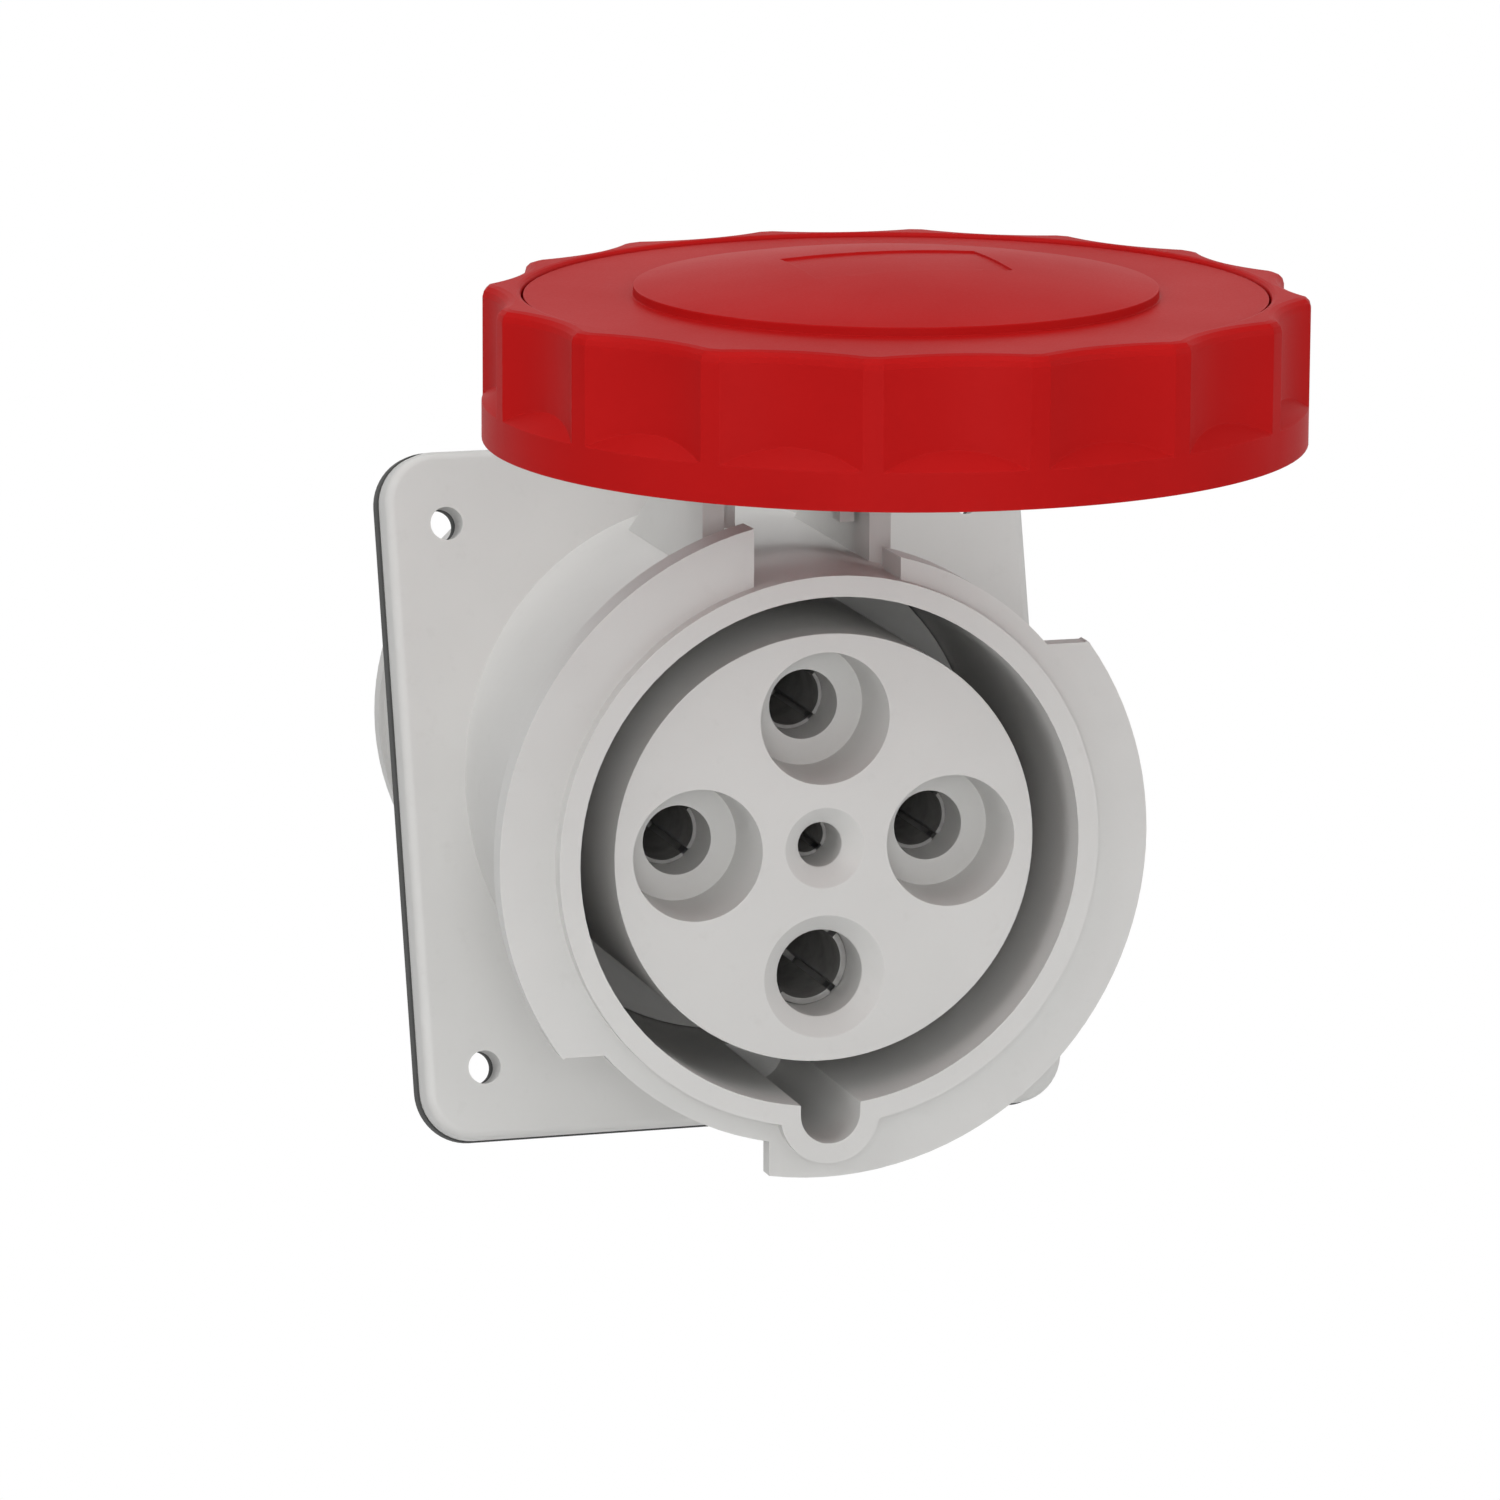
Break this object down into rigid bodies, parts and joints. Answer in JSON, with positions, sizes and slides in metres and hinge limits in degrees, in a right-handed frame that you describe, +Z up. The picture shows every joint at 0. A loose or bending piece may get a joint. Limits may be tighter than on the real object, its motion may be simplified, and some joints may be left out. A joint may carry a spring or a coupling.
{
  "type": "industrial panel socket",
  "caption": "Inclined flanged industrial power socket with a screw-fixed flange, a round keyed barrel with recessed contacts, and a hinged cap with a bayonet ring.",
  "frame": {"origin": "centre of the four bolt holes, on the panel's face at the back of the gasket", "axes": "+X to the right seen from the front, +Y into the panel, +Z up"},
  "size_m": [0.1276, 0.2547, 0.1521],
  "materials": {
    "grey_plastic": "satin",
    "red_plastic": "satin",
    "gasket_rubber": "matt",
    "seal_rubber": "matt",
    "contact_metal": "nickel plated",
    "steel": "zinc plated"
  },
  "bodies": {
    "base": {"housing": "grey_plastic", "panel_gasket": "gasket_rubber", "contact_carrier": "grey_plastic", "carrier_seal": "seal_rubber", "contact_retainer": "grey_plastic", "carrier_screws": "steel", "retainer_screws": "steel", "phase_contact_left": "contact_metal", "phase_contact_top": "contact_metal", "phase_contact_right": "contact_metal", "earth_contact": "contact_metal", "pilot_contact": "contact_metal", "phase_spring_left": "steel", "phase_spring_top": "steel", "phase_spring_right": "steel", "earth_spring": "steel", "pilot_spring": "steel", "terminal_screws": "steel", "pilot_screw": "steel", "hinge_pin": "steel", "hinge_pin_clip": "steel"},
    "lid": {"lid_cap": "red_plastic", "hinge_arm": "grey_plastic", "arm_screws": "steel", "lid_seal": "seal_rubber"},
    "ring": {"lock_ring": "red_plastic", "lock_ring_clip": "steel"}
  },
  "joints": [
    {"name": "lid_hinge", "type": "hinge", "parent": "base", "child": "lid", "pos_m": [0, -0.05618, 0.04753], "axis": [1, 0, 0], "range_deg": [-20, 89.4]},
    {"name": "lock_ring_turn", "type": "hinge", "parent": "lid", "child": "ring", "pos_m": [0, -0.11632, 0.04633], "axis": [0, 0.2689, -0.9632], "range_deg": [0, 60]}
  ]
}
